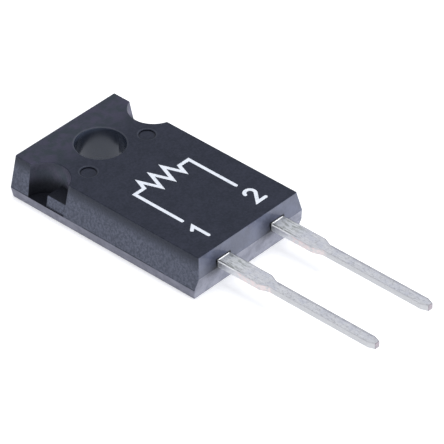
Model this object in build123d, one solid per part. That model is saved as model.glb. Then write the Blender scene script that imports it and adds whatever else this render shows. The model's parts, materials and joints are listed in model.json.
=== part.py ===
from build123d import *
import os
from math import atan2, radians, tan

# Power film resistor: a flat moulded case with a mounting hole at one end and two flat leads at
# the other. Millimetres. The origin is on the hole's axis, at the back face; +Z points from the
# back face to the marked face, -Y from the hole to the leads, and X runs across the case.

# ---- moulded case ----
case_height = 3.18            # back face to marked face
top_width = 9.29              # marked face, across
top_length = 16.08            # marked face, tab end to lead end
side_parting_height = 0.79    # the sides are widest here
side_draft = 11.0             # degrees, sides above their parting line
side_back_draft = 13.5        # degrees, sides below it
lead_end_draft = 10.5         # degrees, lead end above the leads
lead_end_back_draft = 12.5    # degrees, lead end below the leads
tab_end_draft = 2.4           # degrees, tab end, both ways from its parting line
corner_radius = 0.06          # upright corners of the case
top_edge_radius = 0.04        # edge of the marked face

# ---- mounting hole and side notches ----
hole_diameter = 3.43
hole_to_tab_end = 3.16        # hole axis to the tab end of the marked face
hole_rim_radius = 0.1
notch_radius = 1.77           # at the marked face
notch_depth = 1.225           # into the marked face from its side
notch_to_hole = 0.09          # middle of the notches past the hole's axis, towards the tab end
notch_draft = 5.0             # degrees, the notch narrows towards the back
notch_mouth_radius = 0.12     # upright edge of each notch nearer the leads
ledge_height = 1.62           # raised floor of the half of each notch nearer the leads
ledge_setback = 0.09          # front of the ledge behind the side of the case
ledge_edge_radius = 0.06

# ---- ejector-pin marks ----
pin_mark_diameter = 1.1
pin_mark_depth = 0.1
pin_mark_rim = 0.09           # bevel round each mark
pin_mark_spacing = 5.52       # centre to centre, across the case
pin_mark_to_hole = 1.57       # along the case

# ---- leads ----
lead_pitch = 5.08
lead_thickness = 0.51
lead_level = 1.73             # underside of the leads, and parting line of the lead end
root_width = 1.27
root_length = 3.5             # wide stretch outside the case
shoulder_length = 0.6
shaft_width = 0.75
lead_length = 12.75           # case to tip
tip_length = 0.5              # bevelled end of the shaft
tip_inset = 0.19
lead_edge_radius = 0.08
bend_depth = 0.9              # straight stretch inside the case, before the step down
bend_length = 0.8             # length of the step down to the foot
bend_radius = 0.4             # at mid-thickness
foot_length = 1.9

# ---- resistor element ----
substrate_width = 8.2
substrate_thickness = 0.8
substrate_to_hole = 0.7       # hole wall to the near end of the substrate
substrate_to_lead_end = 0.75  # far end of the substrate to the lead end at the back face
pad_width = 1.7
layer_thickness = 0.03        # termination pads and resistance film
glaze_thickness = 0.03
solder_thickness = 0.08
solder_flare = 0.12           # the solder's reach past the foot, on the pad
element_margin = 0.5          # bare ceramic at both ends of the element

# ---- places worked out from the sizes ----
top_half = top_width / 2
lead_end_top = hole_to_tab_end - top_length
notch_centre = top_half - notch_depth + notch_radius
layer_top = substrate_thickness + layer_thickness
foot_level = layer_top + solder_thickness
sides = {"left": -1, "right": 1}


def slope(angle, height):
    """How far a wall with this draft runs out over this height."""
    return tan(radians(angle)) * height


def half_width_at(level):
    """Half the case's width at one level: it is widest at the sides' parting line."""
    widest = top_half + slope(side_draft, case_height - side_parting_height)
    if level >= side_parting_height:
        return top_half + slope(side_draft, case_height - level)
    return widest - slope(side_back_draft, side_parting_height - level)


def lead_end_at(level):
    """The lead end's place at one level: it stands out furthest at the underside of the leads."""
    furthest = lead_end_top - slope(lead_end_draft, case_height - lead_level)
    if level >= lead_level:
        return lead_end_top - slope(lead_end_draft, case_height - level)
    return furthest + slope(lead_end_back_draft, lead_level - level)


def tab_end_at(level):
    """The tab end's place at one level: its parting line is level with that of the sides."""
    if level >= side_parting_height:
        return hole_to_tab_end + slope(tab_end_draft, case_height - level)
    return tab_end_at(side_parting_height) - slope(tab_end_draft, side_parting_height - level)


lead_exit = lead_end_at(lead_level)
lead_tip = lead_exit - lead_length
bend_start = lead_exit + bend_depth
foot_start = bend_start + bend_length
foot_end = foot_start + foot_length
bend_angle = atan2(lead_level - foot_level, bend_length)
flat_start = foot_start + bend_radius * tan(bend_angle / 2)
substrate_near = -(hole_diameter / 2 + substrate_to_hole)
substrate_far = lead_end_at(0) + substrate_to_lead_end
element_near = substrate_near - element_margin
element_far = substrate_far + element_margin


def block(x0, x1, y0, y1, z0, z1):
    """A box between two corners."""
    size = (x1 - x0, y1 - y0, z1 - z0)
    return Pos((x0 + x1) / 2, (y0 + y1) / 2, (z0 + z1) / 2) * Box(*size)


def case_section(level):
    """The case's outline at one level: a rectangle with rounded corners."""
    low, high = lead_end_at(level), tab_end_at(level)
    outline = RectangleRounded(2 * half_width_at(level), high - low, corner_radius)
    return Pos(0, (low + high) / 2, level) * outline


def case_block():
    """The moulding before its hole and notches, drafted both ways from its parting lines."""
    levels = sorted({0, side_parting_height, lead_level, case_height})
    return loft([case_section(level) for level in levels], ruled=True)


def notch(side):
    """The space of one side notch: a drafted half-round down to the sides' parting line."""
    depth = case_height - side_parting_height
    floor_radius = notch_radius - slope(notch_draft, depth)
    place = Pos(side * notch_centre, notch_to_hole, side_parting_height + depth / 2)
    return place * Cone(floor_radius, notch_radius, depth)


def notched(body):
    """The body with both notches, their edges nearer the leads rounded."""
    for side in sides.values():
        body -= notch(side)
    mouth_edges = [
        edge
        for edge in body.edges()
        if abs(edge.center().X) > top_half
        and -notch_radius < edge.center().Y < 0
        and abs((edge @ 1 - edge @ 0).Z) > ledge_height
    ]
    return fillet(mouth_edges, notch_mouth_radius)


def ledge(side):
    """The raised floor in the half of one notch nearer the leads, set back from the case's side."""
    foot = side_parting_height / 2
    inner = notch_centre - notch_radius - ledge_setback
    levels = [ledge_height, side_parting_height, foot]
    front = [(half_width_at(level) - ledge_setback, level) for level in levels]
    outline = [(inner, foot), (inner, ledge_height)] + front
    section = make_face(Polyline(*[(side * x, z) for x, z in outline], close=True))
    bar = extrude(Plane.XZ * section, amount=notch_radius)
    front_edge = bar.edges().group_by(Axis.Z)[-1].sort_by(lambda edge: side * edge.center().X)[-1]
    return Pos(0, notch_to_hole, 0) * fillet(front_edge, ledge_edge_radius)


def pin_mark(side):
    """The space of one ejector-pin mark: a shallow round recess with a bevelled rim."""
    radius = pin_mark_diameter / 2
    recess = Pos(0, 0, -pin_mark_depth / 2) * Cylinder(radius, pin_mark_depth)
    bevel = Pos(0, 0, -pin_mark_rim / 4) * Cone(radius, radius + pin_mark_rim, pin_mark_rim / 2)
    place = Pos(side * pin_mark_spacing / 2, -pin_mark_to_hole, case_height)
    return place * (recess + bevel)


def molded_case(held):
    """The epoxy moulding, formed round the pieces that it holds."""
    body = notched(case_block())
    for side in sides.values():
        body += ledge(side)
    marked_face = body.faces().sort_by(Axis.Z)[-1]
    body = fillet(marked_face.outer_wire().edges(), top_edge_radius)
    body -= Pos(0, 0, case_height / 2) * Cylinder(hole_diameter / 2, case_height)
    bore_rim = body.edges().filter_by(GeomType.CIRCLE).group_by(Axis.Z)[-1]
    body = fillet(bore_rim, hole_rim_radius)
    for side in sides.values():
        body -= pin_mark(side)
    for piece in held:
        body -= piece
    return body


def lead_outline():
    """The blank of one lead, seen from above, with its centre line on X = 0."""
    shoulder = lead_exit - root_length
    shaft = shoulder - shoulder_length
    right = [
        (root_width / 2, foot_end),
        (root_width / 2, shoulder),
        (shaft_width / 2, shaft),
        (shaft_width / 2, lead_tip + tip_length),
        (shaft_width / 2 - tip_inset, lead_tip),
    ]
    left = [(-x, y) for x, y in reversed(right)]
    return make_face(Polyline(*right, *left, close=True))


def lead(side):
    """One copper lead, cut from strip and stepped down inside the case to its flat foot."""
    outside = lead_level + lead_thickness / 2
    inside = foot_level + lead_thickness / 2
    run = [(0, lead_tip, outside), (0, bend_start, outside), (0, foot_start, inside), (0, foot_end, inside)]
    path = FilletPolyline(*run, radius=bend_radius)
    section = Plane(origin=run[0], x_dir=(1, 0, 0), z_dir=(0, 1, 0)) * Rectangle(root_width, lead_thickness)
    strip = sweep(section, path=path)
    blank = extrude(lead_outline(), amount=case_height)
    body = strip & blank
    outer_edges = [
        edge
        for edge in body.edges()
        if edge.center().Y < bend_start - bend_radius and abs((edge @ 1 - edge @ 0).Z) < 0.01
    ]
    body = fillet(outer_edges, lead_edge_radius)
    return Pos(side * lead_pitch / 2, 0, 0) * body


def solder_joint(side):
    """The solder under one lead's foot, flared out onto its pad."""
    middle = (flat_start + foot_end) / 2
    length = foot_end - flat_start
    top = Pos(0, middle, foot_level) * Rectangle(root_width, length)
    base = Pos(0, middle, layer_top) * Rectangle(root_width + 2 * solder_flare, length + 2 * solder_flare)
    return Pos(side * lead_pitch / 2, 0, 0) * loft([base, top], ruled=True)


def termination_pad(side):
    """One metal pad on the substrate, beside the film."""
    x = side * lead_pitch / 2
    half = pad_width / 2
    return block(x - half, x + half, element_far, element_near, substrate_thickness, layer_top)


def resistance_film():
    """The resistive layer, from pad to pad."""
    half = (lead_pitch - pad_width) / 2
    return block(-half, half, element_far, element_near, substrate_thickness, layer_top)


def film_overglaze():
    """The glass layer over the film."""
    half = (lead_pitch - pad_width) / 2
    return block(-half, half, element_far, element_near, layer_top, layer_top + glaze_thickness)


def ceramic_substrate():
    """The alumina plate, flush with the back of the case."""
    half = substrate_width / 2
    return block(-half, half, substrate_far, substrate_near, 0, substrate_thickness)


parts = {
    "ceramic_substrate": ceramic_substrate(),
    "resistance_film": resistance_film(),
    "film_overglaze": film_overglaze(),
}
for name, side in sides.items():
    parts["termination_pad_" + name] = termination_pad(side)
    parts["solder_joint_" + name] = solder_joint(side)
    parts["lead_" + name] = lead(side)
parts["molded_case"] = molded_case(list(parts.values()))

os.makedirs("parts", exist_ok=True)
for name, solid in parts.items():
    export_step(solid, "parts/" + name + ".step")
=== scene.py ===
import json
import math
from types import SimpleNamespace

import bmesh
import bpy
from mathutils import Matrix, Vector, noise

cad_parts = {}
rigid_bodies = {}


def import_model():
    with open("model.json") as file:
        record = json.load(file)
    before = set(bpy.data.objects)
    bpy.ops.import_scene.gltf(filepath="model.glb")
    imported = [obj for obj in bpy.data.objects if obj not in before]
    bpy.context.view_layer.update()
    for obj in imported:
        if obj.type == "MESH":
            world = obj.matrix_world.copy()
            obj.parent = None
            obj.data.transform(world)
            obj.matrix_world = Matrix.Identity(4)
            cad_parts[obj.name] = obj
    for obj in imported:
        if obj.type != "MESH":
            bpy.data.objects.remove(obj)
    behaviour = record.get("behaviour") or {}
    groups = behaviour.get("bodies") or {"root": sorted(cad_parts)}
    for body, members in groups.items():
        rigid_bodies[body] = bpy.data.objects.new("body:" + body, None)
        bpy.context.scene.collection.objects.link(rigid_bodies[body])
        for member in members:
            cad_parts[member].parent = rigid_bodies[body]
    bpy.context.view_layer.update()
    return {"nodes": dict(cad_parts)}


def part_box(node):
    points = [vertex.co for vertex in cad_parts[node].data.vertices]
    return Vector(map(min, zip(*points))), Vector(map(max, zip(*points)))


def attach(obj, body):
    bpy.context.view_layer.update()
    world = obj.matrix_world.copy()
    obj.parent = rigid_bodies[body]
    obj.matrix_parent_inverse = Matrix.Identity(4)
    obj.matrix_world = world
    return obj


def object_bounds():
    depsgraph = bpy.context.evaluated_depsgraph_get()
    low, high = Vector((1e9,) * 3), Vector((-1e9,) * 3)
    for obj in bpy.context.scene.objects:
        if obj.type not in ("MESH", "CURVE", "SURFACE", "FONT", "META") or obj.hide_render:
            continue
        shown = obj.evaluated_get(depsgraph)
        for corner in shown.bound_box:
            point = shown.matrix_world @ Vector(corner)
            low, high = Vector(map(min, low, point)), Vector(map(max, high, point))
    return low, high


# Power film resistor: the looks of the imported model, with its print, floor, lamps and camera.
# Lengths are in metres, or in millimetres times MM, apart from those that the materials use:
# these are in millimetres, as the node trees are. Colours are linear. A pair of them is the two
# ends that a surface varies between.

MM = 0.001

# ---- camera ----
VIEW_AZIMUTH = -47.709          # degrees, 0 looks along +Y and -90 along +X
VIEW_ELEVATION = 37.502         # degrees above the horizon
VIEW_DISTANCE = 280.7 * MM      # camera to the aim point
VIEW_LENS = 353.2               # focal length in millimetres, on this sensor
VIEW_SENSOR = 36.0              # its width in millimetres
VIEW_CLIP = (0.01, 10.0)        # nearest and furthest that the camera sees
AIM_SHARE = (0.670, 0.5766, 0.1365)  # aim point, as shares of the model's box

# ---- lamps: angles as the camera's, distance from the aim point ----
LAMPS = {
    "key": dict(azimuth=10, elevation=4.5, distance=0.30, width=0.14, height=0.05, level=1.4),
    "overhead": dict(azimuth=0, elevation=88, distance=0.35, width=0.25, height=0.25, level=0.55),
    "rim": dict(azimuth=232, elevation=14, distance=0.30, width=0.20, height=0.08, level=0.12),
}

# ---- floor and sky ----
FLOOR_RADIUS = 4.0
FLOOR_GAP = 0.02 * MM           # below the model's underside
FLOOR_SEGMENTS = 96
FLOOR_PAINT = (0.8, 0.8, 0.8)
FLOOR_CAMERA_LIFT = 0.42        # light added where the camera sees the floor
FLOOR_MIRRORED = (0.93, 0.95, 1.0)  # the floor as reflections and glass see it
SKY_HORIZON = (0.10, 0.105, 0.115)
SKY_MIDDLE = (0.70, 0.72, 0.785)
SKY_MIDDLE_HEIGHT = 0.6         # sine of its elevation
SKY_ZENITH = (0.36, 0.37, 0.39)

# ---- places on the case, in millimetres, X and Y from the hole's axis ----
FACE_EDGE = 0.045               # depth at which the marked face's finish gives way to the walls'
END_REACH = 0.5                 # the lead end's slopes lie within this of its furthest point
NOTCH_AXIS = (5.19, 0.09)       # axis of the side notch on the right
NOTCH_WALL = 1.67               # its wall's mean radius
NOTCH_DRAFT = 0.14              # its wall lies within this of that radius
NOTCH_MOUTH = -1.60             # smooth side wall beside the notch's mouth, along Y
NOTCH_SHADE = 0.7               # depth to which its wall has painted shade under the rim
NOTCH_DARK = 0.75               # depth below which its wall is painted black as shade
LEFT_NOTCH_SHADE_TO = 1.3                 # along Y, where the painted shade in the left notch is full
PIN_MARK = (2.76, -1.57)        # middle of the ejector-pin mark on the right
PIN_MARK_RADIUS = 0.55
PIN_MARK_RIM = 0.13             # its bevel lies within this outside that radius
PIN_MARK_FLOOR = 0.175          # its floor lies above this depth
HAZE_START, HAZE_FULL = -1.0, 2.0  # along Y, where the marked face turns hazy
UNDER_EDGE = 1.1                # depth of the painted shade under the marked face's edge
CREVICE_REACH = 0.14            # how far the painted shade round each lead goes out from it
PARTING_STREAK_SHADE_REACH = 0.6               # and the painted shade beside the lead, along the parting line
LEAD_SIDE_SHADE_REACH = 0.85             # and the wider painted shade, mostly to the lead's left

# ---- colours of the moulding ----
FACE_COLOURS = (0.004, 0.006, 0.014), (0.018, 0.020, 0.034)
HAZE_COLOURS = (0.019, 0.026, 0.034), (0.037, 0.034, 0.058)
# painted highlight on the hole's rounded rim
RIM_HIGHLIGHT_COLOUR = (0.08, 0.085, 0.10)
# painted highlight on the pin marks' bevels
MARK_EDGE_HIGHLIGHT_COLOUR = (0.06, 0.065, 0.08)
# painted shade in the pin marks' inner corners
MARK_CORNER_SHADE_COLOUR = (0.002, 0.002, 0.004)
WALL_COLOURS = (0.054, 0.060, 0.083), (0.126, 0.137, 0.185)
# painted shade under the marked face's edge
UNDER_EDGE_SHADE_COLOUR = (0.023, 0.026, 0.038)
LEAD_END_COLOURS = (0.024, 0.028, 0.052), (0.042, 0.048, 0.082)
# painted bounce light: the walls below the partings are paler
BELOW_BOUNCE_LIT_COLOURS = (0.19, 0.19, 0.24), (0.25, 0.25, 0.31)
BELOW_END_BOUNCE_LIT_COLOURS = (0.135, 0.14, 0.175), (0.185, 0.19, 0.23)
# painted shade beside each lead on the lead end, mostly to its left
LEAD_SIDE_SHADE_COLOUR = (0.010, 0.011, 0.016)
# painted shade in the crevice round each lead
CREVICE_SHADE_COLOUR = (0.002, 0.002, 0.003)
BORE_COLOUR = (0.027, 0.034, 0.052)
NOTCH_COLOURS = (0.074, 0.086, 0.108), (0.108, 0.104, 0.146)
# painted shade under the notch's rim
NOTCH_RIM_SHADE_COLOUR = (0.020, 0.022, 0.030)
# painted shade towards the tab end of the left notch
LEFT_NOTCH_SHADE_COLOUR = (0.020, 0.022, 0.034)
# painted shade: black low in the notches and on ledges facing up
NOTCH_DEEP_SHADE_COLOUR = (0.004, 0.004, 0.006)
# painted shade along the sides' parting line
PARTING_SHADE_COLOUR = (0.004, 0.004, 0.005)
SPECULAR_TINT = (0.80, 0.86, 1.0)
COAT_TINT = (0.86, 0.90, 1.0)

# ---- colours of the leads ----
TIN_COLOURS = (0.80, 0.80, 0.81), (1.0, 1.0, 1.0)
TIN_BLOTCH = (0.70, 0.72, 0.82)
TIN_BRIGHT_SCUFF = (0.95, 0.95, 0.96)
TIN_DARK_SCUFF = (0.45, 0.45, 0.46)
TIN_DARK_FLECK = (0.40, 0.40, 0.42)
TIN_BRIGHT_FLECK = (0.97, 0.97, 0.98)
SIDE_TONE_AND_LIGHT_COLOURS = (0.68, 0.68, 0.68), (0.86, 0.87, 0.88)  # towards the tip, and at the case, where the lighter colour is painted light
STAIN_COLOURS = (0.95, 0.97, 0.95), (0.50, 0.52, 0.49)
SEAM_COLOUR = (0.10, 0.10, 0.10)
# painted shade on the right edge
RIGHT_EDGE_SHADE_COLOUR = (0.20, 0.20, 0.23)
# painted shade along a streak in from the right edge
RIGHT_STREAK_SHADE_COLOUR = (0.25, 0.25, 0.30)
# painted highlight on the left edge near the case
LEFT_EDGE_HIGHLIGHT_COLOUR = (1.0, 1.0, 1.0)
# painted shade where the lead meets the case
CONTACT_SHADE_COLOUR = (0.02, 0.02, 0.02)
COPPER_COLOUR = (1.0, 0.86, 0.83)
TIP_COLOURS = (0.40, 0.38, 0.41), (0.52, 0.45, 0.48)

# ---- places on each lead, in millimetres; those along it are measured out from the case ----
ROOT_END = 4.1                  # where the shoulder has narrowed to the shaft
COPPER_START = 1.3              # bare copper on the sheared sides, up to the shoulder's end
STAIN_END, STAIN_FULL = 2.3, 1.2  # the stain on top: where it starts, and is whole
LEFT_HIGHLIGHT_END, LEFT_HIGHLIGHT_FULL = 2.2, 1.2  # the painted highlight on the left edge: the same
SIDE_LIGHT_START, SIDE_LIGHT_FULL = 4.5, 1.5  # between these the sheared sides are painted lighter
SEAM_INSET = 0.13               # dark seam, in from the left side of the root
RIGHT_STREAK_INSET = 0.08            # painted shade: a dark streak, in from the right side of the shaft
TOP_SETBACK = 0.115             # the painted contact shade on top lies this much further in, on the draft
TIP_CUT = 0.04                  # depth of the cut end's own finish

# ---- plain finishes: lighter and darker colour, mottle size, roughness, bump depth, metal ----
PLAIN_FINISHES = {
    "alumina": ((0.84, 0.83, 0.80), (0.74, 0.73, 0.70), 0.12, 0.6, 0.006, 0.0),
    "film": ((0.07, 0.07, 0.075), (0.045, 0.045, 0.05), 0.2, 0.5, 0.004, 0.0),
    "overglaze": ((0.08, 0.18, 0.11), (0.05, 0.13, 0.08), 0.4, 0.18, 0.003, 0.0),
    "pad_metal": ((0.78, 0.77, 0.75), (0.66, 0.65, 0.63), 0.1, 0.4, 0.004, 1.0),
    "solder": ((0.62, 0.62, 0.62), (0.5, 0.5, 0.5), 0.3, 0.35, 0.01, 1.0),
    # the beads: a real tin bead, whose near white colour and low metal paint a highlight
    "bead_tin_with_painted_highlight": ((0.97, 0.97, 0.97), (0.88, 0.88, 0.89), 0.1, 0.3, 0.003, 0.2),
}

# ---- tin bead on each lead, where it leaves the case ----
BEAD_WIDTH = 0.075 * MM         # along the lead
BEAD_HEIGHT = 0.035 * MM
BEAD_SUNK_SHARE = 0.2           # part of its height that lies in the lead
BEAD_TO_EXIT = 0.035 * MM       # its middle, inside the case's furthest point
BEAD_INSET = 0.10 * MM          # its ends, inside the lead's sides
BEAD_STATIONS = 16              # rings along it, less one
BEAD_STEPS = 8                  # sides of its half circle
BEAD_END_POWER = 8              # the higher, the blunter its ends
BEAD_END_SHARE = 0.05           # its size at the ends, of the full size
BEAD_UNEVEN = 0.25              # how much its size varies
BEAD_UNEVEN_STEP = 0.7          # and how fast, from ring to ring

# ---- print on the marked face ----
INK_THICKNESS = 0.012 * MM
INK_DEPTH = 0.02 * MM           # how far the ink's solid reaches into the face
INK_COLOURS = (0.72, 0.76, 0.82), (0.82, 0.85, 0.90)
INK_THIN_COLOUR = (0.2, 0.21, 0.25)  # where the face shows through
STROKE_WIDTH = 0.25 * MM
STROKE_WOBBLE = 0.008 * MM      # unevenness of its edges
STROKE_WOBBLE_SIZE = 0.15 * MM
CAP_STEPS = 8                   # sides of a stroke's round end
SYMBOL_TO_HOLE = 5.45 * MM      # hole axis to the symbol's line
SYMBOL_HALF_LENGTH = 1.65 * MM
SYMBOL_HALF_HEIGHT = 0.72 * MM
SYMBOL_TURNS = 3
DIGIT_HEIGHT = 1.35 * MM
DIGIT_TO_HOLE = 11.1 * MM       # hole axis to the digits' middle
DIGIT_GAP = 0.85 * MM           # between a line's end and its digit


def rgb(colour):
    """A colour with full opacity, as node sockets take it."""
    return (*colour, 1.0)


def empty_tree(owner):
    """The node tree of a new material or world, with nothing in it."""
    owner.use_nodes = True
    owner.node_tree.nodes.clear()
    return owner.node_tree


class Look:
    """A procedural material: its node tree works in millimetres, in the model's own frame."""

    def __init__(self, name, **shader_settings):
        self.material = bpy.data.materials.new(name)
        self.tree = empty_tree(self.material)
        self.shader = self.add("ShaderNodeBsdfPrincipled")
        surface = self.add("ShaderNodeOutputMaterial").inputs["Surface"]
        self.join(self.shader.outputs["BSDF"], surface)
        for socket, value in shader_settings.items():
            self.shader.inputs[socket.replace("_", " ")].default_value = value
        place = self.add("ShaderNodeTexCoord").outputs["Object"]
        self.place = self.vector("SCALE", place, scale=1 / MM)
        self.x, self.y, self.z = self.split(self.place)
        normal = self.add("ShaderNodeNewGeometry").outputs["Normal"]
        self.facing_x, self.facing_y, self.facing_z = self.split(normal)

    def add(self, kind):
        """A new node."""
        return self.tree.nodes.new(kind)

    def join(self, output, socket):
        """Links an output to an input."""
        self.tree.links.new(output, socket)

    def plug(self, value, socket):
        """Links an output, or sets a plain value."""
        if isinstance(value, bpy.types.NodeSocket):
            self.join(value, socket)
        else:
            socket.default_value = value

    def feed(self, name, value):
        """Links an output to one of the shader's sockets."""
        self.join(value, self.shader.inputs[name])

    def split(self, vector):
        """The three numbers of a vector."""
        node = self.add("ShaderNodeSeparateXYZ")
        self.join(vector, node.inputs[0])
        return node.outputs

    def vector(self, operation, a, b=None, scale=None):
        """One step of vector arithmetic."""
        node = self.add("ShaderNodeVectorMath")
        node.operation = operation
        self.plug(a, node.inputs[0])
        if b is not None:
            self.plug(b, node.inputs[1])
        if scale is not None:
            node.inputs["Scale"].default_value = scale
        return node.outputs["Value" if operation == "LENGTH" else "Vector"]

    def math(self, operation, a, b=0.0):
        """One step of arithmetic."""
        node = self.add("ShaderNodeMath")
        node.operation = operation
        self.plug(a, node.inputs[0])
        self.plug(b, node.inputs[1])
        return node.outputs[0]

    def ramp(self, value, start, end, first=0.0, last=1.0):
        """Goes smoothly from the first number to the last as the value goes from start to end."""
        node = self.add("ShaderNodeMapRange")
        node.interpolation_type = "SMOOTHSTEP"
        self.plug(value, node.inputs["Value"])
        node.inputs["From Min"].default_value = start
        node.inputs["From Max"].default_value = end
        node.inputs["To Min"].default_value = first
        node.inputs["To Max"].default_value = last
        return node.outputs[0]

    def above(self, value, place, soft):
        """0 below this place and 1 above it, turning over a soft stretch to both sides of it."""
        return self.ramp(value, place - soft, place + soft)

    def under(self, value, place, soft):
        """1 below this place and 0 above it, turning over a soft stretch to both sides of it."""
        return self.ramp(value, place + soft, place - soft)

    def outside(self, value, middle, half_width):
        """How far the value lies outside this stretch, and 0 in it."""
        distance = self.math("ABSOLUTE", self.math("SUBTRACT", value, middle))
        return self.math("MAXIMUM", self.math("SUBTRACT", distance, half_width), 0.0)

    def band(self, value, middle, half_width, soft):
        """1 within half_width of the middle, and 0 further off than that plus soft."""
        distance = self.math("ABSOLUTE", self.math("SUBTRACT", value, middle))
        return self.ramp(distance, half_width, half_width + soft, 1.0, 0.0)

    def from_axis(self, x, y):
        """Distance from the upright line at this place, or from its twin at -x."""
        away = self.vector("SUBTRACT", self.vector("ABSOLUTE", self.place), (x, 0, 0))
        shift = self.vector("SUBTRACT", self.place, (0, y, 0))
        plan = self.add("ShaderNodeCombineXYZ")
        self.join(self.split(away)[0], plan.inputs[0])
        self.join(self.split(shift)[1], plan.inputs[1])
        return self.vector("LENGTH", plan.outputs[0])

    def off_twins(self, distance):
        """X measured from the nearer of the two places at this distance from the middle."""
        return self.math("SUBTRACT", self.x, self.both(self.math("SIGN", self.x), distance))

    def diagonal(self, a, b):
        """The length of the diagonal over these two sides."""
        return self.math("SQRT", self.math("ADD", self.both(a, a), self.both(b, b)))

    def both(self, a, *others):
        """The product: of masks where all hold, and of a mask and a number its weaker form."""
        for other in others:
            a = self.math("MULTIPLY", a, other)
        return a

    def either(self, a, *others):
        """The mask that holds where any of these does."""
        for other in others:
            a = self.math("MAXIMUM", a, other)
        return a

    def inverse(self, mask):
        """The mask that holds where this one doesn't."""
        return self.math("SUBTRACT", 1.0, mask)

    def mix(self, factor, a, b):
        """Colour a turning into colour b."""
        node = self.add("ShaderNodeMix")
        node.data_type = "RGBA"
        colours = [socket for socket in node.inputs if socket.type == "RGBA"]
        self.plug(factor, node.inputs["Factor"])
        for value, socket in zip((a, b), colours):
            self.plug(rgb(value) if isinstance(value, tuple) else value, socket)
        return next(socket for socket in node.outputs if socket.type == "RGBA")

    def mottle(self, texture, start, end, colours):
        """The first colour turning into the second as the texture goes from start to end."""
        return self.mix(self.ramp(texture, start, end), *colours)

    def blend(self, factor, a, b):
        """One number turning into another, as mix does with colours."""
        change = self.both(factor, self.math("SUBTRACT", b, a))
        return self.math("ADD", a, change)

    def noise(self, size, detail=2.0, roughness=0.5, stretch=(1, 1, 1)):
        """Noise with features of about this size, drawn out along the axes."""
        node = self.add("ShaderNodeTexNoise")
        drawn = self.vector("DIVIDE", self.place, tuple(size * share for share in stretch))
        self.join(drawn, node.inputs["Vector"])
        node.inputs["Scale"].default_value = 1.0
        node.inputs["Detail"].default_value = detail
        node.inputs["Roughness"].default_value = roughness
        return node.outputs[0]

    def bump(self, *layers):
        """Stacks bumps: each layer is a height from 0 to 1 and its depth in millimetres."""
        normal = None
        for height, depth in layers:
            node = self.add("ShaderNodeBump")
            node.inputs["Distance"].default_value = depth * MM
            self.plug(height, node.inputs["Height"])
            if normal is not None:
                self.join(normal, node.inputs["Normal"])
            normal = node.outputs[0]
        self.feed("Normal", normal)


# ---- the moulding ----

def case_levels(case):
    """Heights and reaches of the case, read from its mesh, in millimetres."""
    places = [vertex.co / MM for vertex in case.data.vertices]
    return SimpleNamespace(
        top=max(place.z for place in places),
        side_parting=max(places, key=lambda place: place.x).z,
        end_parting=min(places, key=lambda place: place.y).z,
        end=min(place.y for place in places),
        bore_radius=min(place.xy.length for place in places),
    )


def case_textures(look):
    """The noises that the moulding's colour, roughness and bump share."""
    clouds = look.noise(2.2, detail=4.0, roughness=0.6)
    patches = look.noise(0.8, detail=3.0, roughness=0.6)
    grain = look.noise(0.17, detail=3.0, roughness=0.7)
    cloudy = look.math("ADD", look.both(clouds, 0.45), look.both(patches, 0.55))
    speckle = look.math("ADD", look.both(cloudy, 0.45), look.both(grain, 0.55))
    pits = look.noise(0.07, detail=1.0)
    return SimpleNamespace(
        clouds=clouds, patches=patches, grain=grain, cloudy=cloudy, speckle=speckle, pits=pits
    )


def marked_face_mask(look, level):
    """The marked face with its two ejector-pin marks, and the distance from their middles."""
    face = look.above(look.z, level.top - FACE_EDGE, 0.025)
    from_mark = look.from_axis(*PIN_MARK)
    in_mark = look.under(from_mark, PIN_MARK_RADIUS + PIN_MARK_RIM, 0.01)
    floor = look.both(in_mark, look.above(look.z, level.top - PIN_MARK_FLOOR, 0.025))
    return look.either(face, floor), from_mark


def notch_mask(look, wall, level):
    """The curved walls of the side notches, above the sides' parting line."""
    curved = look.band(look.from_axis(*NOTCH_AXIS), NOTCH_WALL, NOTCH_DRAFT, 0.05)
    upright = look.ramp(look.facing_z, 0.15, 0.12)
    over_parting = look.above(look.z, level.side_parting, 0.01)
    return look.both(wall, curved, upright, over_parting)


def case_masks(look, level):
    """Where each kind of surface of the case lies, each mask from 0 to 1."""
    marked_face, from_mark = marked_face_mask(look, level)
    wall = look.inverse(marked_face)
    towards_tips = look.ramp(look.both(look.facing_y, -1.0), 0.6, 0.8)
    end_wall = look.both(towards_tips, look.under(look.y, level.end + END_REACH, 0.05))
    downward = look.ramp(look.facing_z, -0.02, 0.0, 1.0, 0.0)
    under_leads = look.ramp(look.z, level.end_parting, level.end_parting + 0.02, 1.0, 0.0)
    below_end = look.both(downward, look.both(end_wall, under_leads))
    from_hole = look.from_axis(0, 0)
    return SimpleNamespace(
        marked_face=marked_face,
        wall=wall,
        from_mark=from_mark,
        end_wall=end_wall,
        below=look.either(look.both(downward, look.inverse(end_wall)), below_end),
        below_end=below_end,
        ledge=look.both(wall, look.ramp(look.facing_z, 0.5, 0.7)),
        bore=look.both(wall, look.under(from_hole, level.bore_radius + 0.065, 0.025)),
        rim=look.under(from_hole, level.bore_radius + 0.1, 0.02),
        notch=notch_mask(look, wall, level),
        mouth=look.band(look.y, NOTCH_MOUTH, 0.12, 0.08),
    )


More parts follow.
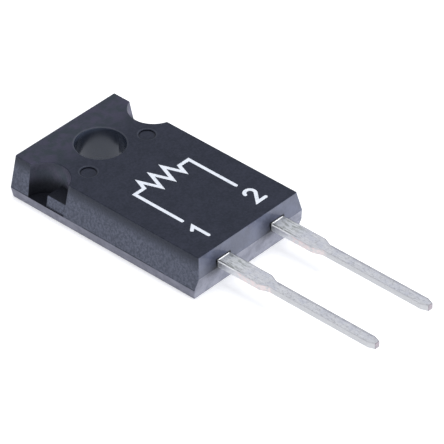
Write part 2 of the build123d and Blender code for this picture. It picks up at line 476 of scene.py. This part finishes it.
def lead_shade_masks(look, mask, level, lead):
    """Painted shade round each lead on the lead end: in the crevice, along the parting beside it, and
    wider, mostly to its left.
    """
    low, high = (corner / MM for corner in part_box(lead.name))
    half_width = (high.x - low.x) / 2
    half_thickness = (high.z - level.end_parting) / 2
    off_lead = look.off_twins(abs(low.x + high.x) / 2)
    across = look.outside(off_lead, 0.0, half_width)
    over = look.outside(look.z, level.end_parting + half_thickness, half_thickness)
    upper_end = look.both(mask.end_wall, mask.wall)

    # painted shade in the crevice round the lead, and along the parting beside it
    close = look.both(upper_end, look.ramp(look.diagonal(across, over), CREVICE_REACH, 0.02))
    on_parting = look.band(look.z, level.end_parting + 0.05, 0.05, 0.08)
    parting_streak_shade = look.both(on_parting, look.ramp(across, PARTING_STREAK_SHADE_REACH, 0.15))
    crevice_shade = look.either(close, look.both(upper_end, look.both(parting_streak_shade, 0.85)))

    # painted shade: a wider patch beside the lead, mostly to its left
    stretched = look.both(across, look.ramp(off_lead, half_width, -half_width, 1.0, 0.5))
    beside_lead_shade = look.ramp(look.diagonal(stretched, over), LEAD_SIDE_SHADE_REACH, 0.10)
    one_sided = look.ramp(off_lead, half_width, -half_width, 0.15, 1.0)
    return crevice_shade, look.both(upper_end, beside_lead_shade, one_sided)


def face_colour(look, mask, texture):
    """The marked face: near black, hazier round the hole, with painted highlights on the hole's and
    pin marks' rims and painted shade in the pin marks' corners.
    """
    colour = look.mottle(texture.speckle, 0.38, 0.62, FACE_COLOURS)
    haze = look.mottle(texture.patches, 0.36, 0.64, HAZE_COLOURS)
    colour = look.mix(look.ramp(look.y, HAZE_START, HAZE_FULL), colour, haze)
    # painted highlight on the hole's rim
    colour = look.mix(look.both(mask.rim, 0.35), colour, RIM_HIGHLIGHT_COLOUR)
    # painted highlight on the pin marks' bevels, and painted shade in their inner corners
    bevel = look.band(mask.from_mark, PIN_MARK_RADIUS + 0.08, 0.02, 0.04)
    colour = look.mix(look.both(bevel, 0.4), colour, MARK_EDGE_HIGHLIGHT_COLOUR)
    corner = look.band(mask.from_mark, PIN_MARK_RADIUS - 0.03, 0.02, 0.04)
    return look.mix(look.both(corner, 0.8), colour, MARK_CORNER_SHADE_COLOUR)


def outer_wall_colour(look, mask, texture, level):
    """The walls above their parting lines, with painted shade under the marked face's edge, and the
    ones below, painted paler as bounce light from the floor.
    """
    colour = look.mottle(texture.grain, 0.34, 0.66, WALL_COLOURS)
    lead_end = look.mottle(texture.cloudy, 0.4, 0.6, LEAD_END_COLOURS)
    colour = look.mix(mask.end_wall, colour, lead_end)
    # painted shade under the marked face's edge
    near_top = look.ramp(look.z, level.top - UNDER_EDGE, level.top - 0.1)
    under_edge_shade = look.both(near_top, look.inverse(mask.end_wall))
    colour = look.mix(under_edge_shade, colour, UNDER_EDGE_SHADE_COLOUR)
    # paler below the partings: painted bounce light from the floor
    below = look.mottle(texture.patches, 0.38, 0.62, BELOW_BOUNCE_LIT_COLOURS)
    colour = look.mix(mask.below, colour, below)
    below_end = look.mottle(texture.patches, 0.38, 0.62, BELOW_END_BOUNCE_LIT_COLOURS)
    return look.mix(mask.below_end, colour, below_end)


def notch_colour(look, texture, level):
    """The notch wall: painted shade under its rim, and more painted shade towards the tab end of the
    left notch.
    """
    colour = look.mottle(texture.patches, 0.40, 0.60, NOTCH_COLOURS)
    # painted shade under the notch's rim
    rim_shade = look.ramp(look.z, level.top - NOTCH_SHADE, level.top, 0.0, 0.55)
    colour = look.mix(rim_shade, colour, NOTCH_RIM_SHADE_COLOUR)
    # painted shade towards the tab end of the left notch
    left_notch_shade = look.both(look.ramp(look.y, 0.0, LEFT_NOTCH_SHADE_TO), look.ramp(look.x, 0.0, -1.0))
    return look.mix(look.both(left_notch_shade, 0.5), colour, LEFT_NOTCH_SHADE_COLOUR)


def parting_shade_mask(look, mask, level):
    """Painted shade: a broken dark line along the sides' parting, clear of the lead end and the
    mouths.
    """
    line = look.band(look.z, level.side_parting + 0.05, 0.012, 0.03)
    line = look.both(line, look.inverse(look.either(mask.end_wall, mask.mouth)))
    return look.both(line, look.ramp(look.noise(1.4, stretch=(1, 1, 0.3)), 0.38, 0.5))


def moulding_colour(look, mask, texture, level, crevice_shade, lead_side_shade):
    """The whole case's colour: outer walls with painted shade round the leads, bore, notches, marked
    face.
    """
    colour = outer_wall_colour(look, mask, texture, level)
    # painted shade round each lead: beside it, and in its crevice
    colour = look.mix(look.both(lead_side_shade, 0.6), colour, LEAD_SIDE_SHADE_COLOUR)
    colour = look.mix(crevice_shade, colour, CREVICE_SHADE_COLOUR)
    colour = look.mix(mask.bore, colour, BORE_COLOUR)
    colour = look.mix(mask.notch, colour, notch_colour(look, texture, level))
    # painted shade: black low in the notches and on ledges facing up
    low_down = look.ramp(look.z, level.top - NOTCH_DARK, level.side_parting + 0.65)
    deep_shade = look.both(mask.notch, low_down)
    colour = look.mix(look.both(look.either(deep_shade, mask.ledge), 0.95), colour, NOTCH_DEEP_SHADE_COLOUR)
    colour = look.mix(mask.wall, face_colour(look, mask, texture), colour)
    # painted shade along the sides' parting line
    line = parting_shade_mask(look, mask, level)
    return look.mix(look.both(line, 0.8), colour, PARTING_SHADE_COLOUR)


def moulding_look(case, lead):
    """Black moulded epoxy: satin marked face, grainy walls, smoother below the partings and painted
    paler there as bounce light.

    The lead is either of the two, as both meet the case alike.
    """
    look = Look(
        "moulding",
        IOR=1.5,
        Specular_Tint=rgb(SPECULAR_TINT),
        Coat_IOR=2.2,
        Coat_Roughness=0.17,
        Coat_Tint=rgb(COAT_TINT),
    )
    level = case_levels(case)
    mask = case_masks(look, level)
    texture = case_textures(look)
    crevice_shade, lead_side_shade = lead_shade_masks(look, mask, level, lead)
    look.feed("Base Color", moulding_colour(look, mask, texture, level, crevice_shade, lead_side_shade))

    face_roughness = look.ramp(texture.speckle, 0.3, 0.7, 0.36, 0.46)
    wall_roughness = look.ramp(texture.grain, 0.3, 0.7, 0.42, 0.60)
    roughness = look.blend(mask.wall, face_roughness, wall_roughness)
    look.feed("Roughness", look.blend(mask.bore, roughness, 0.18))

    upper_end = look.both(mask.end_wall, mask.wall)
    dull = look.either(mask.below, crevice_shade, look.both(lead_side_shade, 0.9))
    coated = look.both(upper_end, look.inverse(dull))
    look.feed("Coat Weight", look.either(coated, look.both(mask.bore, 0.22)))

    smooth = look.either(mask.below, upper_end, mask.bore, mask.mouth)
    rough_wall = look.both(mask.wall, look.inverse(smooth))
    look.bump(
        (texture.clouds, 0.006),
        (look.both(rough_wall, texture.grain), 0.035),
        (look.both(mask.marked_face, texture.grain), 0.008),
        (texture.pits, 0.003),
    )
    return look.material


# ---- the leads ----

def lead_levels(case, lead):
    """Places on a lead, read from the meshes, in millimetres."""
    low, high = (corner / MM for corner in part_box(lead.name))
    places = [vertex.co / MM for vertex in lead.data.vertices]
    last_millimetre = [place for place in places if place.y < low.y + 1.0]
    axis = abs(low.x + high.x) / 2
    return SimpleNamespace(
        exit=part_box(case.name)[0].y / MM,
        tip=low.y,
        axis=axis,
        half_root=(high.x - low.x) / 2,
        half_shaft=max(abs(place.x) for place in last_millimetre) - axis,
    )


def lead_textures(look):
    """The noises that the tin's colour, roughness and bump share."""
    return SimpleNamespace(
        streaks=look.noise(0.11, detail=4.0, roughness=0.65, stretch=(1, 8, 1)),
        scuffs=look.noise(0.20, detail=4.0, roughness=0.65, stretch=(1, 1.6, 1)),
        blotches=look.noise(0.6, detail=3.0, roughness=0.6),
        flecks=look.noise(0.10, detail=2.0, roughness=0.6, stretch=(1, 1.6, 1)),
    )


def worn_tin(look, texture, side, level):
    """Tin with its drawn streaks, scuffs and flecks, duller on the sheared sides, which are painted
    lighter towards the case.
    """
    tin = look.mottle(texture.streaks, 0.32, 0.68, TIN_COLOURS)
    tin = look.mix(look.ramp(texture.blotches, 0.42, 0.62, 0.0, 0.4), tin, TIN_BLOTCH)
    tin = look.mix(look.ramp(texture.scuffs, 0.56, 0.70, 0.0, 0.6), tin, TIN_BRIGHT_SCUFF)
    tin = look.mix(look.ramp(texture.scuffs, 0.44, 0.32, 0.0, 0.5), tin, TIN_DARK_SCUFF)
    tin = look.mix(look.ramp(texture.flecks, 0.56, 0.66, 0.0, 0.45), tin, TIN_DARK_FLECK)
    tin = look.mix(look.ramp(texture.flecks, 0.42, 0.34, 0.0, 0.6), tin, TIN_BRIGHT_FLECK)
    # the sheared sides are painted lighter towards the case
    dull, bright = level.exit - SIDE_LIGHT_START, level.exit - SIDE_LIGHT_FULL
    side_tin = look.mottle(look.y, dull, bright, SIDE_TONE_AND_LIGHT_COLOURS)
    return look.mix(look.both(side, 0.8), tin, side_tin)


def stained_tin(look, tin, texture, top, across, level):
    """Adds the stain on top of the root, and the dark seam in it along its left edge."""
    shift = look.both(look.math("SUBTRACT", texture.blotches, 0.5), 1.8)
    ragged = look.math("ADD", look.y, shift)
    stain = look.ramp(ragged, level.exit - STAIN_END, level.exit - STAIN_FULL)
    marks = look.math("ADD", texture.streaks, look.both(texture.scuffs, 0.6))
    dark = look.ramp(marks, 0.86, 0.68)
    strength = look.ramp(dark, 0.0, 1.0, 0.6, 0.9)
    stained = look.mix(dark, *STAIN_COLOURS)
    tin = look.mix(look.both(stain, top, strength), tin, stained)

    seam = look.band(across, -(level.half_root - SEAM_INSET), 0.02, 0.05)
    broken = look.both(stain, look.ramp(texture.scuffs, 0.35, 0.5))
    return look.mix(look.both(seam, top, broken, 0.8), tin, SEAM_COLOUR)


def edged_tin(look, tin, texture, top, across, level):
    """Adds painted shade on the right edge and along a streak in from it, and a painted highlight on
    the left edge.

    Gives the colour and the painted highlight's mask.
    """
    # painted shade on the right edge, and along a streak in from it
    sheared = look.both(look.ramp(look.facing_x, 0.04, 0.15), look.ramp(look.facing_z, 0.2, 0.4))
    tin = look.mix(look.both(sheared, 0.85), tin, RIGHT_EDGE_SHADE_COLOUR)
    on_shaft = look.ramp(look.y, level.exit - ROOT_END + 0.1, level.exit - ROOT_END - 0.3)
    right_streak_shade = look.band(across, level.half_shaft - RIGHT_STREAK_INSET, 0.06, 0.12)
    patchy = look.ramp(texture.streaks, 0.3, 0.7, 0.5, 0.2)
    tin = look.mix(look.both(right_streak_shade, on_shaft, top, patchy), tin, RIGHT_STREAK_SHADE_COLOUR)
    # painted highlight on the left edge near the case
    left_edge_highlight = look.both(look.ramp(look.facing_x, -0.25, -0.5), look.ramp(look.facing_z, 0.25, 0.5))
    near_case = look.ramp(look.y, level.exit - LEFT_HIGHLIGHT_END, level.exit - LEFT_HIGHLIGHT_FULL)
    left_edge_highlight = look.both(left_edge_highlight, near_case)
    return look.mix(left_edge_highlight, tin, LEFT_EDGE_HIGHLIGHT_COLOUR), left_edge_highlight


def lead_ends(look, tin, texture, top, side, level):
    """Adds painted shade where the lead meets the case, the bare copper on the sides and the cut tip.
    """
    # painted shade where the lead meets the case
    reach = look.math("SUBTRACT", look.y, look.both(top, TOP_SETBACK))
    contact_shade = look.ramp(reach, level.exit - 0.02, level.exit)
    not_under = look.ramp(look.facing_z, -0.5, -0.4)
    tin = look.mix(look.both(contact_shade, not_under), tin, CONTACT_SHADE_COLOUR)
    start = look.ramp(look.y, level.exit - COPPER_START, level.exit - COPPER_START - 0.6)
    end = look.ramp(look.y, level.exit - ROOT_END - 0.5, level.exit - ROOT_END)
    scuffed = look.ramp(texture.scuffs, 0.36, 0.58)
    bare = look.both(side, look.both(start, end), scuffed, 0.8)
    colour = look.mix(bare, tin, COPPER_COLOUR)
    tip = look.under(look.y, level.tip + TIP_CUT, 0.02)
    return look.mix(tip, colour, look.mottle(texture.scuffs, 0.4, 0.6, TIP_COLOURS))


def tin_look(case, lead):
    """Dull tin over copper: drawn streaks, stained next to the case, bare copper on sheared sides."""
    look = Look("tin")
    level = lead_levels(case, lead)
    texture = lead_textures(look)
    across = look.off_twins(level.axis)
    top = look.ramp(look.facing_z, 0.85, 0.97)
    side = look.ramp(look.math("ABSOLUTE", look.facing_x), 0.6, 0.9)
    tin = worn_tin(look, texture, side, level)
    tin = stained_tin(look, tin, texture, top, across, level)
    tin, left_edge_highlight = edged_tin(look, tin, texture, top, across, level)
    look.feed("Base Color", lead_ends(look, tin, texture, top, side, level))
    # the painted highlight is also less metallic, so that it lights up white
    look.feed("Metallic", look.blend(left_edge_highlight, 0.8, 0.1))
    look.feed("Roughness", look.ramp(texture.streaks, 0.25, 0.75, 0.30, 0.50))
    look.bump((texture.streaks, 0.010), (texture.scuffs, 0.016), (texture.blotches, 0.03))
    return look.material


# ---- the other finishes ----

def plain_look(name, lighter, darker, size, roughness, bump, metallic):
    """A simple mottled finish."""
    look = Look(name, Metallic=metallic)
    mottle = look.noise(size, detail=3.0, roughness=0.6)
    look.feed("Base Color", look.mottle(mottle, 0.3, 0.7, (darker, lighter)))
    look.feed("Roughness", look.ramp(mottle, 0.3, 0.7, roughness - 0.08, roughness + 0.08))
    look.bump((mottle, bump))
    return look.material


def ink_look():
    """White marking ink: matte, a little uneven, with the face showing through its thin spots."""
    look = Look("ink")
    mottle = look.noise(0.25, detail=3.0, roughness=0.6)
    thin = look.ramp(look.noise(0.09, detail=1.0), 0.66, 0.74, 0.0, 0.6)
    colour = look.mottle(mottle, 0.3, 0.7, INK_COLOURS)
    look.feed("Base Color", look.mix(thin, colour, INK_THIN_COLOUR))
    look.feed("Roughness", look.ramp(mottle, 0.3, 0.7, 0.5, 0.65))
    look.bump((mottle, 0.004))
    return look.material


def make_finishes(nodes):
    """Every finish by its name: the CAD nodes' material slots, and tin with a painted highlight for
    the beads.
    """
    case, lead = nodes["molded_case"], nodes["lead_left"]
    finishes = {name: plain_look(name, *finish) for name, finish in PLAIN_FINISHES.items()}
    finishes["moulding"] = moulding_look(case, lead)
    finishes["lead_metal"] = tin_look(case, lead)
    return finishes


def dress(nodes, finishes):
    """Gives every CAD node the finish that its material slot names."""
    for node in nodes.values():
        for place in node.material_slots:
            place.material = finishes[place.material.name]


# ---- pieces made here ----

def link_mesh(mesh, name, material):
    """Turns a bmesh into an object in the scene, with this material."""
    data = bpy.data.meshes.new(name)
    mesh.to_mesh(data)
    mesh.free()
    data.materials.append(material)
    thing = bpy.data.objects.new(name, data)
    bpy.context.scene.collection.objects.link(thing)
    return thing


def turned(vector, half_turns=0.5):
    """The vector turned to its left by this many half turns."""
    angle = math.pi * half_turns
    c, s = math.cos(angle), math.sin(angle)
    return Vector((vector.x * c - vector.y * s, vector.x * s + vector.y * c))


def round_cap(centre, way, start, half_width):
    """Half a circle of points round a stroke's end, from this many half turns off its way."""
    steps = range(CAP_STEPS + 1)
    return [centre + turned(way, start - k / CAP_STEPS) * half_width for k in steps]


def stroke_outline(points, width):
    """The outline of a stroke along these points, with mitred corners and round ends."""
    half = width / 2
    points = [Vector(point) for point in points]
    ways = [(b - a).normalized() for a, b in zip(points, points[1:])]
    left, right = [], []
    for here, before, after in zip(points[1:-1], ways, ways[1:]):
        across = (turned(before) + turned(after)).normalized()
        reach = half / across.dot(turned(before))
        left.append(here + across * reach)
        right.append(here - across * reach)
    far_cap = round_cap(points[-1], ways[-1], 0.5, half)
    near_cap = round_cap(points[0], ways[0], -0.5, half)
    return left + far_cap + list(reversed(right)) + near_cap


def print_piece(name, points, level, material):
    """One printed stroke as an object of its own: a thin solid with its top at this level."""
    mesh = bmesh.new()
    corners = []
    for place in stroke_outline(points, STROKE_WIDTH):
        shift = noise.noise(Vector((place.x, place.y, 0)) / STROKE_WOBBLE_SIZE) * STROKE_WOBBLE
        corners.append(mesh.verts.new((place.x + shift, place.y + shift, level)))
    mesh.faces.new(corners)
    thick = bmesh.ops.extrude_face_region(mesh, geom=mesh.faces[:])
    moved = [thing for thing in thick["geom"] if isinstance(thing, bmesh.types.BMVert)]
    bmesh.ops.translate(mesh, verts=moved, vec=(0, 0, -(INK_THICKNESS + INK_DEPTH)))
    bmesh.ops.recalc_face_normals(mesh, faces=mesh.faces[:])
    piece = link_mesh(mesh, name, material)
    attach(piece, "root")


def arc(centre, radius, start, end, steps):
    """Points on an arc, angles in degrees."""
    angles = [math.radians(start + (end - start) * k / steps) for k in range(steps + 1)]
    return [(centre[0] + radius * math.cos(a), centre[1] + radius * math.sin(a)) for a in angles]


def digit_one(x, y):
    """The number 1 round this middle, in shares of its height: a flag and an upright."""
    upright = x + 0.05 * DIGIT_HEIGHT
    flag_end = (x - 0.22 * DIGIT_HEIGHT, y + 0.30 * DIGIT_HEIGHT)
    return [flag_end, (upright, y + DIGIT_HEIGHT / 2), (upright, y - DIGIT_HEIGHT / 2)]


def digit_two(x, y):
    """The number 2 round this middle, in shares of its height: a bow, its slant and a foot."""
    radius = 0.27 * DIGIT_HEIGHT
    foot = y - DIGIT_HEIGHT / 2
    bow = arc((x, y + DIGIT_HEIGHT / 2 - radius), radius, 165, -35, 14)
    return bow + [(x - radius, foot), (x + radius * 1.1, foot)]


def symbol_line(half_pitch):
    """The resistor symbol: a zigzag with a line from each end towards its lead."""
    steps = 4 * SYMBOL_TURNS
    line_end = -(DIGIT_TO_HOLE - DIGIT_HEIGHT / 2 - DIGIT_GAP)
    zigzag = []
    for k in range(1, steps, 2):
        x = -SYMBOL_HALF_LENGTH + 2 * SYMBOL_HALF_LENGTH * k / steps
        height = SYMBOL_HALF_HEIGHT if k % 4 == 1 else -SYMBOL_HALF_HEIGHT
        zigzag.append((x, -SYMBOL_TO_HOLE + height))
    corner = (-half_pitch, -SYMBOL_TO_HOLE)
    start = [(-half_pitch, line_end), corner, (-SYMBOL_HALF_LENGTH, -SYMBOL_TO_HOLE)]
    return start + zigzag + [(-x, y) for x, y in reversed(start)]


def print_on(case):
    """Generic print: a resistor symbol wired to the leads, which are numbered 1 and 2."""
    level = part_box(case.name)[1].z + INK_THICKNESS
    left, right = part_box("lead_left"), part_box("lead_right")
    half_pitch = (right[0].x + right[1].x - left[0].x - left[1].x) / 4
    ink = ink_look()
    print_piece("print_symbol", symbol_line(half_pitch), level, ink)
    print_piece("print_number_1", digit_one(-half_pitch, -DIGIT_TO_HOLE), level, ink)
    print_piece("print_number_2", digit_two(half_pitch, -DIGIT_TO_HOLE), level, ink)


def bead_ring(mesh, station, low, high, exit_y):
    """One half-round section of a bead, at this station of its way across the lead."""
    middle = (low.x + high.x) / 2
    half = (high.x - low.x) / 2 - BEAD_INSET
    share = 2 * station / BEAD_STATIONS - 1
    spot = Vector((station * BEAD_UNEVEN_STEP, low.x / MM, 0))
    uneven = 1 + BEAD_UNEVEN * noise.noise(spot)
    swell = (1 - share ** BEAD_END_POWER) * uneven + BEAD_END_SHARE
    ring = []
    for k in range(BEAD_STEPS + 1):
        angle = math.pi * k / BEAD_STEPS
        y = exit_y + BEAD_TO_EXIT + BEAD_WIDTH / 2 * swell * math.cos(angle)
        z = high.z + BEAD_HEIGHT * (swell * math.sin(angle) - BEAD_SUNK_SHARE)
        ring.append(mesh.verts.new((middle + half * share, y, z)))
    return ring


def tin_bead(name, lead, exit_y, material):
    """A thin raised line of tin across the top of one lead, drawn out at both ends."""
    low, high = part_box(lead.name)
    mesh = bmesh.new()
    rings = [bead_ring(mesh, i, low, high, exit_y) for i in range(BEAD_STATIONS + 1)]
    for ring, after in zip(rings, rings[1:]):
        for k in range(BEAD_STEPS + 1):
            n = (k + 1) % (BEAD_STEPS + 1)
            mesh.faces.new((ring[k], ring[n], after[n], after[k]))
    mesh.faces.new(rings[0])
    mesh.faces.new(rings[-1])
    bmesh.ops.recalc_face_normals(mesh, faces=mesh.faces[:])
    for face in mesh.faces:
        face.smooth = len(face.verts) == 4
    piece = link_mesh(mesh, name, material)
    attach(piece, "root")


def add_beads(nodes, material):
    """The beads of tin where the leads leave the case."""
    exit_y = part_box("molded_case")[0].y
    for side in ("left", "right"):
        tin_bead("tin_bead_" + side, nodes["lead_" + side], exit_y, material)


# ---- floor, sky, lamps and camera ----

def floor_look():
    """White paint that keeps shadows, lifted to white for the camera and for reflections."""
    material = bpy.data.materials.new("floor")
    tree = empty_tree(material)
    out = tree.nodes.new("ShaderNodeOutputMaterial")
    path = tree.nodes.new("ShaderNodeLightPath")
    paint = tree.nodes.new("ShaderNodeBsdfDiffuse")
    paint.inputs["Color"].default_value = rgb(FLOOR_PAINT)
    lift = tree.nodes.new("ShaderNodeMath")
    lift.operation = "MULTIPLY"
    lift.inputs[1].default_value = FLOOR_CAMERA_LIFT
    glow = tree.nodes.new("ShaderNodeEmission")
    painted = tree.nodes.new("ShaderNodeAddShader")
    mirrored = tree.nodes.new("ShaderNodeEmission")
    mirrored.inputs["Color"].default_value = rgb(FLOOR_MIRRORED)
    mirrored.inputs["Strength"].default_value = 1.0
    by_mirror = tree.nodes.new("ShaderNodeMath")
    by_mirror.operation = "MAXIMUM"
    seen = tree.nodes.new("ShaderNodeMixShader")
    link = tree.links.new
    link(path.outputs["Is Camera Ray"], lift.inputs[0])
    link(lift.outputs[0], glow.inputs["Strength"])
    link(paint.outputs[0], painted.inputs[0])
    link(glow.outputs[0], painted.inputs[1])
    link(path.outputs["Is Glossy Ray"], by_mirror.inputs[0])
    link(path.outputs["Is Transmission Ray"], by_mirror.inputs[1])
    link(by_mirror.outputs[0], seen.inputs["Fac"])
    link(painted.outputs[0], seen.inputs[1])
    link(mirrored.outputs[0], seen.inputs[2])
    link(seen.outputs[0], out.inputs["Surface"])
    return material


def lay_floor():
    """A round white floor just under the model."""
    mesh = bmesh.new()
    bmesh.ops.create_circle(mesh, cap_ends=True, radius=FLOOR_RADIUS, segments=FLOOR_SEGMENTS)
    bmesh.ops.translate(mesh, verts=mesh.verts[:], vec=(0, 0, -FLOOR_GAP))
    floor = link_mesh(mesh, "floor", floor_look())


def light_world():
    """A pale sky: dim at the horizon, brightest at middle height, greyer overhead."""
    world = bpy.data.worlds.new("room")
    tree = empty_tree(world)
    out = tree.nodes.new("ShaderNodeOutputWorld")
    sky = tree.nodes.new("ShaderNodeBackground")
    ramp = tree.nodes.new("ShaderNodeValToRGB")
    split = tree.nodes.new("ShaderNodeSeparateXYZ")
    place = tree.nodes.new("ShaderNodeTexCoord")
    tree.links.new(place.outputs["Generated"], split.inputs[0])
    tree.links.new(split.outputs["Z"], ramp.inputs["Fac"])
    tree.links.new(ramp.outputs["Color"], sky.inputs["Color"])
    tree.links.new(sky.outputs[0], out.inputs["Surface"])
    stops = ramp.color_ramp.elements
    stops[0].position, stops[0].color = 0.0, rgb(SKY_HORIZON)
    stops[1].position, stops[1].color = 1.0, rgb(SKY_ZENITH)
    stops.new(SKY_MIDDLE_HEIGHT).color = rgb(SKY_MIDDLE)
    bpy.context.scene.world = world


def towards(azimuth, elevation):
    """The way from the aim point to a camera or lamp at these angles in degrees."""
    a, e = math.radians(azimuth), math.radians(elevation)
    return Vector((math.sin(a) * math.cos(e), -math.cos(a) * math.cos(e), math.sin(e)))


def softbox(name, aim, azimuth, elevation, distance, width, height, level):
    """A soft lamp, kept out of reflections. Level is what it makes of a white surface facing it."""
    back = towards(azimuth, elevation)
    lamp = bpy.data.lights.new(name, "AREA")
    lamp.shape = "RECTANGLE"
    lamp.size, lamp.size_y = width, height
    lamp.energy = level * (math.pi * distance) ** 2
    thing = bpy.data.objects.new(name, lamp)
    thing.location = aim + back * distance
    thing.rotation_euler = (-back).to_track_quat("-Z", "Y").to_euler()
    thing.visible_glossy = False
    bpy.context.scene.collection.objects.link(thing)


def light_object(aim):
    """Soft studio light: a low key before the lead end, one overhead, a weak one on the left."""
    for name, settings in LAMPS.items():
        softbox(name, aim, **settings)


def place_camera():
    """The camera, at the photograph's angle. Returns the point that it aims at."""
    low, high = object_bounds()
    aim = Vector(a + (b - a) * share for a, b, share in zip(low, high, AIM_SHARE))
    back = towards(VIEW_AZIMUTH, VIEW_ELEVATION)
    lens = bpy.data.cameras.new("camera")
    lens.lens = VIEW_LENS
    lens.sensor_width = VIEW_SENSOR
    lens.clip_start, lens.clip_end = VIEW_CLIP
    camera = bpy.data.objects.new("camera", lens)
    camera.location = aim + back * VIEW_DISTANCE
    camera.rotation_mode = "QUATERNION"
    camera.rotation_quaternion = (-back).to_track_quat("-Z", "Y")
    bpy.context.scene.collection.objects.link(camera)
    bpy.context.scene.camera = camera
    return aim


def wipe_default_scene():
    """Takes out what a new Blender file holds."""
    for thing in list(bpy.data.objects):
        bpy.data.objects.remove(thing)


wipe_default_scene()
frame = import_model()
bpy.context.scene.view_settings.view_transform = "Standard"
nodes = frame["nodes"]
finishes = make_finishes(nodes)
dress(nodes, finishes)
add_beads(nodes, finishes["bead_tin_with_painted_highlight"])
print_on(nodes["molded_case"])
aim_point = place_camera()
lay_floor()
light_world()
light_object(aim_point)
